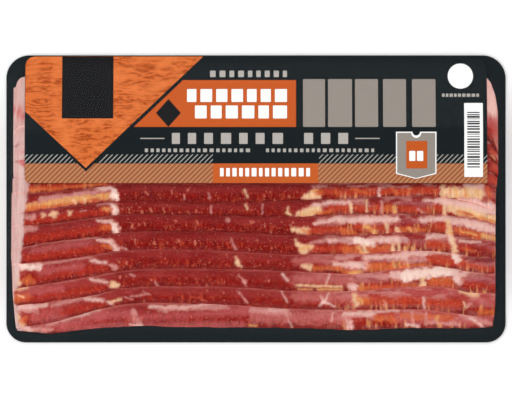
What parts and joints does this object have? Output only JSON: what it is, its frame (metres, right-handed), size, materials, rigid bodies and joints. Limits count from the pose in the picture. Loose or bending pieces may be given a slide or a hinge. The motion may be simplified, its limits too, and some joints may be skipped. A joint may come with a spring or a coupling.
{
  "type": "pack of bacon",
  "caption": "Flat vacuum pack of shingled bacon strips on a dark backing board, with a printed card label over the upper half and a clear sealed film over all.",
  "frame": {"origin": "centre of the backing board's outline, on its underside", "axes": "+X along the strips to the pack's right, +Y to the pack's upper edge where the label is, +Z out of the board towards the shown side; the pack lies on its back"},
  "size_m": [0.28, 0.161, 0.0196],
  "materials": {
    "backing": "satin",
    "bacon": "satin",
    "label_card": "satin",
    "clear_film": "gloss"
  },
  "bodies": {
    "root": {"backing": "backing", "bacon_strip_01": "bacon", "bacon_strip_02": "bacon", "bacon_strip_03": "bacon", "bacon_strip_04": "bacon", "bacon_strip_05": "bacon", "bacon_strip_06": "bacon", "bacon_strip_07": "bacon", "bacon_strip_08": "bacon", "bacon_strip_09": "bacon", "bacon_strip_10": "bacon", "bacon_strip_11": "bacon", "bacon_strip_12": "bacon", "label_card": "label_card", "clear_film": "clear_film"}
  },
  "joints": []
}
